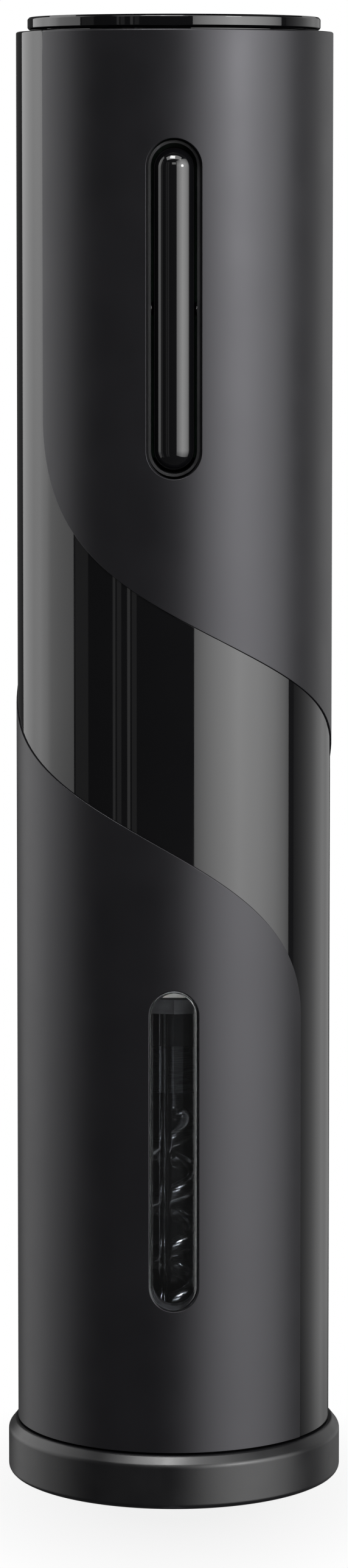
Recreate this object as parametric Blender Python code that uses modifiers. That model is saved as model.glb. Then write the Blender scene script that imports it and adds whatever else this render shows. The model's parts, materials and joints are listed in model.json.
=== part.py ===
"""Battery wine opener: a tall round casing that stands on its foil cutter.

A gloss band winds in an S from the top left, across the front, to the bottom
right of two matt wrap panels.  A rocker switch sits high on the front and a
window low on it.  Inside, from the bottom up: the neck guide and cork tube
round the worm, a two-stage planetary gearbox, the motor and four cells.

Dimensions are in millimetres and MM turns them into Blender's metres.  The
front faces -Y.  Angles round the casing count from the front, positive
towards +X.
"""
import math

import bmesh
import bpy
from mathutils import Matrix, Vector
from mathutils.geometry import interpolate_bezier

MM = 0.001
GAP = 0.3                   # left between pieces that rest on each other
RUN = 0.05                  # radial clearance of a shaft in its hole

# --- casing ---------------------------------------------------------------
PANEL_R = 24.25             # matt panels
BAND_R = 24.05              # gloss band, a shade lower than the panels
SKIN_IN_R = 22.5            # inside of the panels and the band
CHASSIS_R = 21.9
CHASSIS_IN_R = 20.3
SKIN_BOTTOM = 8.4
SHOULDER = 222.3            # top of the panels
SEAM_ANGLE = 180.0          # the panels meet down the back
TUBE_STEPS = 50
CHASSIS_STEPS = 38
BOSS_R = 2.6                # screw bosses of the chassis
HEAD_SEAT_Y = 7.5           # depth of the screw heads' counterbores
SCREW_PLACES = [(x, z) for x in (-16.9, 16.9) for z in (115.0, 135.0)]

# Each edge of the band: straight down, a sweep to the front, a sweep on, and
# straight down again.  Handles are lengths along the tangent.
UPPER_EDGE = {"start": (-54.6, 164.5), "start_handle": 14.0,
              "front": 135.3, "slope": 0.552, "front_handles": (14.4, 28.6),
              "end_handle": 32.5, "end": (127.0, 79.9)}
LOWER_EDGE = {"start": (-127.0, 151.0), "start_handle": 30.2,
              "front": 99.5, "slope": 0.571, "front_handles": (30.3, 13.9),
              "end_handle": 10.3, "end": (52.7, 73.7)}
SWEEP_STEPS = 14
BACK_COLUMNS = 20

# --- switch and window -----------------------------------------------------
SWITCH_Z = 180.95
SLOT_SIZE = (8.3, 50.5)
BEZEL_SIZE = (7.8, 50.0)
BEZEL_WALL = 0.5
BEZEL_FRONT = 22.9
BUTTON_SIZE = (6.1, 47.9)
BUTTON_FRONT = 25.2         # the button stands 1 mm out of the casing
BUTTON_DEPTH = 3.5
BUTTON_WALL = 0.45          # straight part behind its half-round front
ROCKER_AXIS_Y = -20.3
ROCKER_PIN_R = 0.75
BARREL_R = 1.9
BARREL_HALF = 2.1           # half the barrel's length, between the bezel's ears
EAR_MIDDLE = 3.0
EAR_HALF = 0.6
POST_REACH = 16.0           # height of each switch above or below the pin
POST_LENGTH = 0.7
STEM_GAP = 0.75             # free travel before a post meets its stem
STEM_R = 1.6
STEM_LENGTH = 2.0
WINDOW_Z = 54.5
WINDOW_SIZE = (7.5, 48.9)

# --- foil cutter and bottle neck --------------------------------------------
CUTTER_R = 25.73
CUTTER_TOP = 8.1
NECK_R = 15.6
CUTTER_WHEEL_R = 4.5
CUTTER_WHEEL_AT = 18.3
CUTTER_WHEEL_Z = 4.0
CUTTER_SPOTS = [(CUTTER_WHEEL_AT * math.cos(math.radians(a)),
                 CUTTER_WHEEL_AT * math.sin(math.radians(a))) for a in (45, 135, 225, 315)]
SEAT_Z = 22.0
CORK_R = 12.4
CORK_TUBE_R = 13.8

# --- worm and gearbox --------------------------------------------------------
WORM_COIL_R = 3.3
WORM_WIRE_R = 1.5
WORM_PITCH = 8.5
WORM_TIP_Z = 12.0
CHUCK_R = 5.2
CHUCK_END_Z = 60.0
NOSE_END_Z = 67.9
GRUB_Z = 63.8
SHAFT_R = 4.0
GEAR_MODULE = 0.6
SUN_TEETH = 10
PLANET_TEETH = 20
RING_TEETH = 50
GEAR_FACE = 6.0
PLANET_AT = GEAR_MODULE * (SUN_TEETH + PLANET_TEETH) / 2
PLANET_ANGLES = (90.0, 210.0, 330.0)
PIN_R = 1.0
CARRIER_R = 12.3
CARRIER_THICK = 2.5
SECOND_CARRIER_Z = 78.0
FIRST_CARRIER_Z = 88.0
GEARBOX_R = 19.9
GEARBOX_TOP = 104.0
MOTOR_R = 13.85
MOTOR_BOTTOM = 106.3
MOTOR_TOP = 142.3
MOTOR_SHAFT_R = 1.15

# --- cells, board and cap ----------------------------------------------------
DECK_Z = 160.3
BAY_FRONT = -14.6           # flat front of the battery bay
BAY_SHIFT = 1.2             # the bay sits this far behind the centre line
CELL_SPREAD = 7.75
CELL_SPOTS = [(x, y + BAY_SHIFT) for x in (-CELL_SPREAD, CELL_SPREAD)
              for y in (-CELL_SPREAD, CELL_SPREAD)]
CELL_R = 7.05
CELL_LENGTH = 49.2
CELL_BOTTOM = DECK_Z + 5.1
CELL_NUB = 1.2
BAY_TOP = 215.0             # just under the tips of the cells
BOARD_BACK = -14.9
BOARD_THICK = 1.2
CONTACT_Z = 216.1           # underside of the plate that bridges the cells
CAP_SKIRT_END = 216.6
CAP_R = 22.3
CAP_SIDE_TOP = 224.5
CAP_TOP = 224.7

BLACK_MATT = ((0.012, 0.012, 0.013), 0.42, 0.0)
BLACK_GLOSS = ((0.006, 0.006, 0.007), 0.08, 0.0)
BLACK_SATIN = ((0.010, 0.010, 0.011), 0.30, 0.0)
BLACK_INNER = ((0.030, 0.030, 0.032), 0.55, 0.0)
CLEAR = ((0.75, 0.78, 0.80), 0.06, 0.0)
RUBBER = ((0.020, 0.020, 0.020), 0.80, 0.0)
STEEL = ((0.62, 0.62, 0.63), 0.25, 1.0)
ZINC = ((0.55, 0.56, 0.58), 0.40, 1.0)
BRASS = ((0.72, 0.52, 0.22), 0.35, 1.0)
NYLON = ((0.80, 0.79, 0.74), 0.50, 0.0)
BOARD_GREEN = ((0.02, 0.16, 0.07), 0.45, 0.0)
CELL_SLEEVE = ((0.08, 0.20, 0.36), 0.35, 0.0)


# --- shared steps --------------------------------------------------------------
def collection(name):
    made = bpy.data.collections.new(name)
    bpy.context.scene.collection.children.link(made)
    return made


for leftover in list(bpy.data.objects):
    bpy.data.objects.remove(leftover, do_unlink=True)
PARTS = collection("wine_opener")
CUTTERS = collection("cutters")


def look(obj, colour, roughness, metallic):
    material = bpy.data.materials.new(obj.name)
    material.use_nodes = True
    shader = material.node_tree.nodes["Principled BSDF"]
    shader.inputs["Base Color"].default_value = (*colour, 1.0)
    shader.inputs["Roughness"].default_value = roughness
    shader.inputs["Metallic"].default_value = metallic
    obj.data.materials.append(material)


def part(name, data, finish, origin=(0, 0, 0)):
    """Put mesh or curve data in the part's collection, its origin in mm."""
    obj = bpy.data.objects.new(name, data)
    PARTS.objects.link(obj)
    obj.location = Vector(origin) * MM
    look(obj, *finish)
    return obj


def tool(name, data, origin=(0, 0, 0)):
    """Put mesh data among the cutters, which are never part of the object."""
    obj = bpy.data.objects.new(name, data)
    CUTTERS.objects.link(obj)
    obj.location = Vector(origin) * MM
    obj.hide_render = True
    obj.display_type = "WIRE"
    return obj


def boolean(obj, other, operation, solver="EXACT"):
    step = obj.modifiers.new(other.name, "BOOLEAN")
    step.operation = operation
    step.solver = solver
    step.object = other


def cut(obj, *others):
    for other in others:
        boolean(obj, other, "DIFFERENCE")


def mesh_from(name, work):
    """Run a bmesh recipe that works in mm, and return it as a mesh in metres."""
    bm = bmesh.new()
    work(bm)
    bmesh.ops.scale(bm, vec=(MM, MM, MM), verts=bm.verts)
    mesh = bpy.data.meshes.new(name)
    bm.to_mesh(mesh)
    bm.free()
    mesh.shade_smooth()
    mesh.set_sharp_from_angle(angle=math.radians(35))
    return mesh


def rod(name, radius, low, high, steps=16, axis="Z", at=(0, 0)):
    """Cylinder mesh along an axis, from low to high, centred on the two others."""
    def work(bm):
        bmesh.ops.create_cone(bm, cap_ends=True, segments=steps, radius1=radius,
                              radius2=radius, depth=high - low)
        middle = (low + high) / 2
        turns = {"Z": Matrix.Identity(4), "X": Matrix.Rotation(math.pi / 2, 4, "Y"),
                 "Y": Matrix.Rotation(math.pi / 2, 4, "X")}
        places = {"Z": (at[0], at[1], middle), "X": (middle, at[0], at[1]),
                  "Y": (at[0], middle, at[1])}
        bm.transform(Matrix.Translation(places[axis]) @ turns[axis])
    return mesh_from(name, work)


def several(name, meshes):
    """One mesh of several separate solids."""
    bm = bmesh.new()
    for mesh in meshes:
        bm.from_mesh(mesh)
    joined = bpy.data.meshes.new(name)
    bm.to_mesh(joined)
    bm.free()
    joined.shade_smooth()
    joined.set_sharp_from_angle(angle=math.radians(35))
    return joined


def block(name, low, high):
    """Box mesh between two corners."""
    def work(bm):
        bmesh.ops.create_cube(bm, size=1.0)
        size = [b - a for a, b in zip(low, high)]
        middle = [(a + b) / 2 for a, b in zip(low, high)]
        bm.transform(Matrix.Translation(middle) @ Matrix.Diagonal((*size, 1)))
    return mesh_from(name, work)


def pill(name, size, near, far, z, steps=20):
    """Pill-shaped prism along Y: a round rod whose two halves are drawn apart."""
    width, height = size

    def work(bm):
        radius = width / 2 / math.cos(math.pi / steps)
        bmesh.ops.create_cone(bm, cap_ends=True, segments=steps, radius1=radius,
                              radius2=radius, depth=far - near)
        bm.transform(Matrix.Rotation(math.pi / steps, 4, "Z"))
        bm.transform(Matrix.Translation((0, (near + far) / 2, z))
                     @ Matrix.Rotation(math.pi / 2, 4, "X"))
        for vertex in bm.verts:
            vertex.co.z += math.copysign((height - width) / 2, vertex.co.z - z)
    return mesh_from(name, work)


def domed_pill(name, size, front, wall, back, steps=20):
    """Pill with a half-round front: outlines that shrink as they come forward."""
    width, height = size
    radius = width / 2 / math.cos(math.pi / steps)
    turns = [math.radians(turn) for turn in (0, 26, 52, 78)]
    rise = (wall - front) / math.sin(turns[-1])
    levels = [(radius, back)]
    levels += [(radius * math.cos(turn), wall - rise * math.sin(turn)) for turn in turns]

    def work(bm):
        rows = []
        for reach, y in levels:
            row = []
            for i in range(steps):
                turn = 2 * math.pi * (i + 0.5) / steps
                z = reach * math.sin(turn) + math.copysign((height - width) / 2,
                                                           math.sin(turn))
                row.append(bm.verts.new((reach * math.cos(turn), y, z)))
            rows.append(row)
        for first, second in zip(rows, rows[1:]):
            for i in range(steps):
                bm.faces.new((first[i], first[i - 1], second[i - 1], second[i]))
        bm.faces.new(rows[0])
        bm.faces.new(rows[-1])
        bmesh.ops.recalc_face_normals(bm, faces=bm.faces)
    return mesh_from(name, work)


def turned_part(name, profile, finish, steps=48, origin=(0, 0, 0)):
    """Turn a profile about Z.  It is (radius, height) points, outer side downwards."""
    mesh = bpy.data.meshes.new(name)
    points = [(radius * MM, 0, height * MM) for radius, height in profile]
    edges = [(i, i + 1) for i in range(len(points) - 1)]
    if profile[0][0] > 0:
        edges.append((len(points) - 1, 0))
    mesh.from_pydata(points, edges, [])
    obj = part(name, mesh, finish, origin)
    step = obj.modifiers.new("Turn", "SCREW")
    step.steps = steps
    step.render_steps = steps
    step.use_merge_vertices = True
    step.merge_threshold = 0.00001
    step.use_smooth_shade = False
    return obj


def ring(inner, outer, low, high):
    """Profile of a plain ring."""
    return [(outer, high), (outer, low), (inner, low), (inner, high)]


def outline(name, loops, low, high):
    """Flat outline, given as closed loops of (x, y), as a plate from low to high."""
    curve = bpy.data.curves.new(name, "CURVE")
    curve.dimensions = "2D"
    curve.fill_mode = "BOTH"
    curve.extrude = (high - low) / 2 * MM
    for loop in loops:
        spline = curve.splines.new("POLY")
        spline.points.add(len(loop) - 1)
        for point, (x, y) in zip(spline.points, loop):
            point.co = (x * MM, y * MM, 0, 1)
        spline.use_cyclic_u = True
    return curve


def circle(radius, steps, x=0.0, y=0.0):
    turns = [2 * math.pi * i / steps for i in range(steps)]
    return [(x + radius * math.cos(a), y + radius * math.sin(a)) for a in turns]


def wire(name, run, radius, taper=None):
    """Round wire along a list of points; taper gives its radius along the run."""
    curve = bpy.data.curves.new(name, "CURVE")
    curve.dimensions = "3D"
    curve.bevel_depth = radius * MM
    curve.bevel_resolution = 2
    curve.use_fill_caps = True
    spline = curve.splines.new("POLY")
    spline.points.add(len(run) - 1)
    for i, (point, place) in enumerate(zip(spline.points, run)):
        point.co = (*(Vector(place) * MM), 1)
        point.radius = taper(i / (len(run) - 1)) if taper else 1.0
    return curve


# --- the wrap: band and panels ------------------------------------------------
def edge_path(edge, top, bottom, shift):
    """Points of one band edge on the unrolled casing, moved sideways by shift."""
    arc = math.radians(1) * PANEL_R
    start = Vector((edge["start"][0] * arc, edge["start"][1]))
    front = Vector((0, edge["front"]))
    end = Vector((edge["end"][0] * arc, edge["end"][1]))
    along = Vector((1, -edge["slope"])).normalized()
    back_handle, on_handle = edge["front_handles"]
    down = Vector((0, -1))
    first = interpolate_bezier(start, start + down * edge["start_handle"],
                               front - along * back_handle, front, SWEEP_STEPS)
    second = interpolate_bezier(front, front + along * on_handle,
                                end - down * edge["end_handle"], end, SWEEP_STEPS)
    path = [Vector((start.x, top)), *first, *second[1:], Vector((end.x, bottom))]
    moved = []
    for i, point in enumerate(path):
        run = path[min(i + 1, len(path) - 1)] - path[max(i - 1, 0)]
        moved.append(point + Vector((-run.y, run.x)).normalized() * shift)
    return moved


def upright_path(angle, like):
    """Upright line whose points are level with those of another path."""
    across = math.radians(angle) * PANEL_R
    return [Vector((across, point.y)) for point in like]


def wrap_block(name, left, right, columns, inner, outer):
    """Curved block between two paths of equal length on the unrolled casing."""
    rows = len(left) - 1

    def work(bm):
        bmesh.ops.create_grid(bm, x_segments=columns, y_segments=rows, size=0.5)
        for vertex in bm.verts:
            across = vertex.co.x + 0.5
            row = rows - round((vertex.co.y + 0.5) * rows)
            flat = left[row].lerp(right[row], across)
            angle = flat.x / PANEL_R
            vertex.co = (outer * math.sin(angle), -outer * math.cos(angle), flat.y)
        sheet = bm.verts[:] + bm.edges[:] + bm.faces[:]
        drawn = bmesh.ops.extrude_face_region(bm, geom=sheet, use_keep_orig=True)
        for item in drawn["geom"]:
            if isinstance(item, bmesh.types.BMVert):
                item.co.x *= inner / outer
                item.co.y *= inner / outer
        bmesh.ops.recalc_face_normals(bm, faces=bm.faces)
    return mesh_from(name, work)


def panel_area(name, edge, shift, seam_reach):
    """Cutter over a panel's area, from its band edge round to the back seam."""
    side = 1 if edge is UPPER_EDGE else -1
    path = edge_path(edge, SHOULDER + 2, SKIN_BOTTOM - 2, side * shift)
    seam = upright_path(side * (SEAM_ANGLE + seam_reach), path)
    left, right = (path, seam) if side > 0 else (seam, path)
    return tool(name, wrap_block(name, left, right, BACK_COLUMNS, 19.0, 27.0))


def wrap():
    """Gloss band and the two matt panels, each cut from the casing's tube."""
    tube = {"profile": ring(SKIN_IN_R, PANEL_R, SKIN_BOTTOM, SHOULDER),
            "finish": BLACK_MATT, "steps": TUBE_STEPS}
    half_gap = math.degrees(GAP / 2 / PANEL_R)
    upper = turned_part("upper_panel", **tube)
    boolean(upper, panel_area("upper_area", UPPER_EDGE, GAP, -half_gap), "INTERSECT",
            "MANIFOLD")
    cut(upper, tool("slot_hole", pill("slot_hole", SLOT_SIZE, -30, -15, SWITCH_Z)))
    lower = turned_part("lower_panel", **tube)
    boolean(lower, panel_area("lower_area", LOWER_EDGE, GAP, -half_gap), "INTERSECT",
            "MANIFOLD")
    cut(lower, tool("window_hole", pill("window_hole", WINDOW_SIZE, -30, -15, WINDOW_Z)))
    band = turned_part("gloss_band", ring(SKIN_IN_R, BAND_R, SKIN_BOTTOM, SHOULDER),
                       BLACK_GLOSS, TUBE_STEPS)
    for name, edge in (("band_above", UPPER_EDGE), ("band_below", LOWER_EDGE)):
        boolean(band, panel_area(name, edge, 0, 3), "DIFFERENCE", "MANIFOLD")


# --- chassis -------------------------------------------------------------------
def screw(name, head_r, shank_r, head, shank, origin, turn):
    """Screw with a flat head, its shank running down from the origin."""
    profile = [(0, head), (head_r, head), (head_r, 0), (shank_r, 0), (shank_r, -shank),
               (0, -shank)]
    made = turned_part(name, profile, ZINC, 8, origin)
    made.rotation_euler = turn


def chassis_half(name, side):
    """Half of the inner tube, with two screw bosses on each edge."""
    half = turned_part(name, ring(CHASSIS_IN_R, CHASSIS_R, SKIN_BOTTOM + GAP, SHOULDER - GAP),
                       BLACK_INNER, CHASSIS_STEPS)
    low, high = sorted((-side, side * 9.0))
    bosses = [rod("boss", BOSS_R, low, high, 10, "Y", place) for place in SCREW_PLACES]
    boolean(half, tool(name + "_bosses", several("bosses", bosses)), "UNION")
    holes = [rod("hole", 1.25, -30, 30, 8, "Y", place) for place in SCREW_PLACES]
    if side > 0:
        sinks = [rod("sink", 2.4, HEAD_SEAT_Y, 30, 10, "Y", place) for place in SCREW_PLACES]
        cut(half, tool("screw_sinks", several("sinks", sinks)))
    cut(half, tool(name + "_holes", several("holes", holes)))
    near, far = sorted((-side * 30, side * GAP / 2))
    cut(half, tool(name + "_other", block("other", (-30, near, 0), (30, far, 230))))
    return half


def chassis():
    front = chassis_half("front_chassis", -1)
    chassis_half("rear_chassis", 1)
    slot = (SLOT_SIZE[0] + 0.7, SLOT_SIZE[1] + 0.7)
    view = (WINDOW_SIZE[0] - 1.2, WINDOW_SIZE[1] - 1.2)
    cut(front, tool("slot_room", pill("slot_room", slot, -30, -15, SWITCH_Z)),
        tool("view_room", pill("view_room", view, -30, -15, WINDOW_Z)))
    for i, (x, z) in enumerate(SCREW_PLACES):
        screw(f"chassis_screw_{i + 1}", 2.0, 1.1, 1.6, 15.0, (x, HEAD_SEAT_Y + 0.2, z),
              (-math.pi / 2, 0, 0))


def window():
    size = (WINDOW_SIZE[0] - 0.4, WINDOW_SIZE[1] - 0.4)
    lens = turned_part("window_lens", ring(SKIN_IN_R, BAND_R + 0.05, 25, 84), CLEAR,
                       TUBE_STEPS)
    boolean(lens, tool("lens_outline", pill("lens_outline", size, -30, -15, WINDOW_Z)),
            "INTERSECT")


# --- switch ----------------------------------------------------------------------
def switch_bezel():
    """Pill-shaped frame with two ears that hold the rocker's pin."""
    bezel = part("switch_bezel", pill("bezel", BEZEL_SIZE, -BEZEL_FRONT, -19.4, SWITCH_Z),
                 BLACK_INNER)
    inner = tuple(side - 2 * BEZEL_WALL for side in BEZEL_SIZE)
    cut(bezel, tool("bezel_room", pill("bezel_room", inner, -30, -15, SWITCH_Z)))
    ears = [block("ear", (x - EAR_HALF, -21.4, SWITCH_Z - 1.8),
                  (x + EAR_HALF, -18.6, SWITCH_Z + 1.8)) for x in (-EAR_MIDDLE, EAR_MIDDLE)]
    boolean(bezel, tool("ears", several("ears", ears)), "UNION")
    axis = (ROCKER_AXIS_Y, SWITCH_Z)
    cut(bezel, tool("pin_hole", rod("pin_hole", ROCKER_PIN_R + RUN, -6, 6, 12, "X", axis)))
    pin_end = EAR_MIDDLE + EAR_HALF
    part("rocker_pin", rod("pin", ROCKER_PIN_R, -pin_end, pin_end, 12, "X", axis), STEEL)


def rocker_button():
    """Pill button with a pivot barrel and two posts, its origin on the pin."""
    axis = (0, ROCKER_AXIS_Y, SWITCH_Z)
    front = -BUTTON_FRONT - ROCKER_AXIS_Y
    back = front + BUTTON_DEPTH
    face = domed_pill("button", BUTTON_SIZE, front, back - BUTTON_WALL, back)
    button = part("rocker_button", face, BLACK_GLOSS, axis)
    backs = [rod("barrel", BARREL_R, -BARREL_HALF, BARREL_HALF, 16, "X")]
    for z in (-POST_REACH, POST_REACH):
        backs.append(rod("post", 1.2, back - 0.5, back + POST_LENGTH, 12, "Y", (0, z)))
    boolean(button, tool("button_backs", several("backs", backs), axis), "UNION")
    cut(button, tool("barrel_hole", rod("barrel_hole", ROCKER_PIN_R + RUN, -4, 4, 12, "X"),
                     axis))


def tact_switches():
    """Two push switches on the board, each stem free to slide along Y."""
    tip = BUTTON_DEPTH - BUTTON_FRONT + POST_LENGTH + STEM_GAP
    board_front = BOARD_BACK - BOARD_THICK
    for name, z in (("upper", SWITCH_Z + POST_REACH), ("lower", SWITCH_Z - POST_REACH)):
        case = part(name + "_switch_case", block("case", (-3, tip + 0.6, z - 3),
                                                 (3, board_front - GAP, z + 3)), ZINC)
        cut(case, tool(name + "_bore", rod("bore", STEM_R + RUN, tip, tip + STEM_LENGTH + 0.5,
                                           16, "Y", (0, z))))
        part(name + "_switch_stem", rod("stem", STEM_R, 0, STEM_LENGTH, 16, "Y"), BLACK_INNER,
             (0, tip, z))
    part("circuit_board", block("board", (-5.5, board_front, DECK_Z - 1.8),
                                (5.5, BOARD_BACK, 207.5)), BOARD_GREEN)


# --- foil cutter and bottle end -----------------------------------------------
def foil_cutter():
    """Base ring that pulls off downwards, with four cutting wheels on stub axles."""
    profile = [(20.1, 13.5), (20.1, CUTTER_TOP), (24.6, CUTTER_TOP), (CUTTER_R, 6.7),
               (CUTTER_R, 0.7), (CUTTER_R - 0.7, 0), (NECK_R, 0), (NECK_R, CUTTER_TOP),
               (18.0, CUTTER_TOP + 0.6), (18.0, 13.5)]
    body = turned_part("foil_cutter_ring", profile, BLACK_SATIN, 44)
    pockets = [rod("pocket", CUTTER_WHEEL_R + 0.6, 3.0, 5.0, 16, "Z", spot)
               for spot in CUTTER_SPOTS]
    holes = [rod("hole", 0.9, 1.2, 6.8, 8, "Z", spot) for spot in CUTTER_SPOTS]
    cut(body, tool("wheel_pockets", several("pockets", pockets)),
        tool("axle_holes", several("holes", holes)))
    rim = [(0, 2.7), (0.8, 2.7), (0.8, 0.3), (CUTTER_WHEEL_R - 0.8, 0.3),
           (CUTTER_WHEEL_R, 0), (CUTTER_WHEEL_R - 0.8, -0.3), (0.8, -0.3), (0.8, -2.7),
           (0, -2.7)]
    for i, (x, y) in enumerate(CUTTER_SPOTS):
        turned_part(f"cutter_wheel_{i + 1}", rim, STEEL, 16, (x, y, CUTTER_WHEEL_Z))


def neck_end():
    """Guide for the bottle neck, its soft seat, and the tube the cork rises in."""
    guide = [(17.6, 24.0), (17.6, 17.0), (20.1, 15.5), (20.1, 14.0), (NECK_R + 0.9, 14.0),
             (NECK_R, 15.0), (NECK_R, SEAT_Z + 0.3), (CORK_R, SEAT_Z + 0.3), (CORK_R, 24.0)]
    turned_part("neck_guide", guide, BLACK_INNER, 28)
    turned_part("neck_seat", ring(CORK_R, NECK_R - 0.3, SEAT_Z - 1.2, SEAT_Z), RUBBER, 28)
    turned_part("cork_tube", ring(CORK_R, CORK_TUBE_R, 24.3, 74.5), CLEAR, 28)


# --- worm and gearbox -----------------------------------------------------------
def worm():
    """Straight shank, then a right-hand coil down to a sharp tip."""
    top = 73.6
    coil_top = CHUCK_END_Z - 2.3
    swell = 6.0                 # height over which the coil opens out
    step = WORM_PITCH / 10
    count = round((coil_top - WORM_TIP_Z) / step)
    points = [(0, 0, top), (0, 0, coil_top + 6.0)]
    for i in range(count + 1):
        z = coil_top - step * i
        radius = WORM_COIL_R * min(1.0, (coil_top - z) / swell)
        turn = 2 * math.pi * (z - WORM_TIP_Z) / WORM_PITCH
        points.append((radius * math.cos(turn), radius * math.sin(turn), z))

    def taper(along):
        return min(1.0, 0.12 + (1 - along) * 9)
    part("worm", wire("worm", points, WORM_WIRE_R, taper), STEEL)


def gear_outline(teeth, phase, tip, root, thickness):
    """Closed outline of a gear with straight flanks drawn from the involute."""
    pitch_r = GEAR_MODULE * teeth / 2
    pressure = math.radians(20)
    base_r = pitch_r * math.cos(pressure)

    def half_width(radius):
        slant = math.acos(min(1.0, base_r / radius))
        return (thickness * math.pi / 2 / teeth + math.tan(pressure) - pressure
                - math.tan(slant) + slant)

    tip_r = pitch_r + tip * GEAR_MODULE
    root_r = pitch_r - root * GEAR_MODULE
    points = []
    for i in range(teeth):
        middle = phase + 2 * math.pi * i / teeth
        for radius, side in ((root_r, -1), (tip_r, -1), (tip_r, 1), (root_r, 1)):
            angle = middle + side * half_width(max(radius, base_r))
            points.append((radius * math.cos(angle), radius * math.sin(angle)))
    return points


def planet_phase(direction):
    """Turn of a planet whose tooth spaces meet the sun's teeth at rest."""
    sun_share = (direction * SUN_TEETH / (2 * math.pi)) % 1
    return direction + math.pi - (0.5 - sun_share) * 2 * math.pi / PLANET_TEETH


def ring_phase():
    """Turn of the ring whose tooth spaces take the first planet's teeth."""
    direction = math.radians(PLANET_ANGLES[0])
    share = (direction - planet_phase(direction)) * PLANET_TEETH / (2 * math.pi)
    return direction - share * 2 * math.pi / RING_TEETH


def gear(name, loops, low, high, finish, origin=(0, 0)):
    part(name, outline(name, loops, low, high), finish, (*origin, (low + high) / 2))


def sun(name, bore, low, finish):
    teeth = gear_outline(SUN_TEETH, 0, 0.9, 1.15, 0.84)
    gear(name, [teeth, circle(bore, 16)], low, low + GEAR_FACE, finish)


def planets(stage, low):
    """Three planets, each free to turn on its carrier's pin."""
    for i, angle in enumerate(math.radians(a) for a in PLANET_ANGLES):
        spot = (PLANET_AT * math.cos(angle), PLANET_AT * math.sin(angle))
        teeth = gear_outline(PLANET_TEETH, planet_phase(angle), 0.9, 1.2, 0.84)
        gear(f"{stage}_planet_{i + 1}", [teeth, circle(PIN_R + RUN, 12)], low,
             low + GEAR_FACE, NYLON, spot)


def carrier(name, profile, low, finish):
    """Turned carrier with its three planet pins standing on the plate."""
    plate = turned_part(name, profile, finish, 24)
    pins = []
    for angle in (math.radians(a) for a in PLANET_ANGLES):
        spot = (PLANET_AT * math.cos(angle), PLANET_AT * math.sin(angle))
        pins.append(rod("pin", PIN_R, low + 1, low + CARRIER_THICK + GEAR_FACE + 0.9, 16,
                        "Z", spot))
    boolean(plate, tool(name + "_pins", several("pins", pins)), "UNION")
    return plate


def gearbox():
    low = SECOND_CARRIER_Z
    profile = [(0, low + CARRIER_THICK), (CARRIER_R, low + CARRIER_THICK),
               (CARRIER_R, low), (SHAFT_R, low), (SHAFT_R, NOSE_END_Z - GAP),
               (CHUCK_R, NOSE_END_Z - GAP),
               (CHUCK_R, CHUCK_END_Z), (WORM_WIRE_R + 0.1, CHUCK_END_Z),
               (WORM_WIRE_R + 0.1, 74.0), (0, 74.0)]
    output = carrier("output_carrier", profile, low, STEEL)
    spot = (0, GRUB_Z)
    cut(output, tool("grub_hole", rod("grub_hole", 1.35, 1.0, 7.0, 12, "X", spot)))
    part("worm_grub_screw", rod("grub", 1.25, 1.8, 5.0, 12, "X", spot), ZINC)
    second_low = low + CARRIER_THICK + 0.5
    planets("second", second_low)
    sun("second_sun_gear", 1.45, second_low, BRASS)
    low = FIRST_CARRIER_Z
    profile = [(0, low + CARRIER_THICK), (CARRIER_R, low + CARRIER_THICK),
               (CARRIER_R, low), (1.4, low), (1.4, second_low), (0, second_low)]
    carrier("first_carrier", profile, low, NYLON)
    first_low = low + CARRIER_THICK + 0.5
    planets("first", first_low)
    sun("motor_pinion", MOTOR_SHAFT_R + RUN, first_low, BRASS)
    part("motor_shaft", rod("shaft", MOTOR_SHAFT_R, first_low, 118, 16), STEEL)
    teeth = gear_outline(RING_TEETH, ring_phase(), 1.2, 0.9, 1.16)
    gear("gearbox_ring", [circle(GEARBOX_R, 30), teeth], 77.3, GEARBOX_TOP, NYLON)
    nose = [(GEARBOX_R, 77.0), (GEARBOX_R, 74.8), (8.5, 74.8), (8.5, NOSE_END_Z),
            (6.05, NOSE_END_Z), (6.05, 77.0)]
    turned_part("gearbox_nose", nose, BLACK_INNER, 24)
    turned_part("output_bush", ring(SHAFT_R + RUN, 6.0, NOSE_END_Z + 0.2, 77.0), BRASS, 24)


def motor():
    can = [(0, MOTOR_TOP), (MOTOR_R - 1, MOTOR_TOP), (MOTOR_R, MOTOR_TOP - 1),
           (MOTOR_R, MOTOR_BOTTOM + 1), (MOTOR_R - 1, MOTOR_BOTTOM), (5, MOTOR_BOTTOM),
           (5, MOTOR_BOTTOM - 1.8), (0, MOTOR_BOTTOM - 1.8)]
    body = turned_part("motor_can", can, ZINC, 24)
    screws_at = (-8.5, 8.5)
    bores = [rod("bore", MOTOR_SHAFT_R + RUN, 100, 118.5, 16)]
    bores += [rod("tap", 1.3, 104, 110, 12, "Z", (x, 0)) for x in screws_at]
    cut(body, tool("can_bores", several("bores", bores)))
    plate = turned_part("motor_plate", ring(5.3, GEARBOX_R, GEARBOX_TOP + GAP,
                                            MOTOR_BOTTOM - GAP), STEEL, 24)
    holes = [rod("hole", 1.3, 100, 110, 12, "Z", (x, 0)) for x in screws_at]
    cut(plate, tool("plate_holes", several("holes", holes)))
    for i, x in enumerate(screws_at):
        screw(f"motor_screw_{i + 1}", 2.2, 1.15, 1.5, 5.5, (x, 0, GEARBOX_TOP + GAP - 0.2),
              (math.pi, 0, 0))
    cap = [(0, 146.0), (MOTOR_R - 2.5, 146.0), (MOTOR_R - 1.2, MOTOR_TOP + GAP),
           (0, MOTOR_TOP + GAP)]
    turned_part("motor_end_cap", cap, NYLON, 24)


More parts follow.
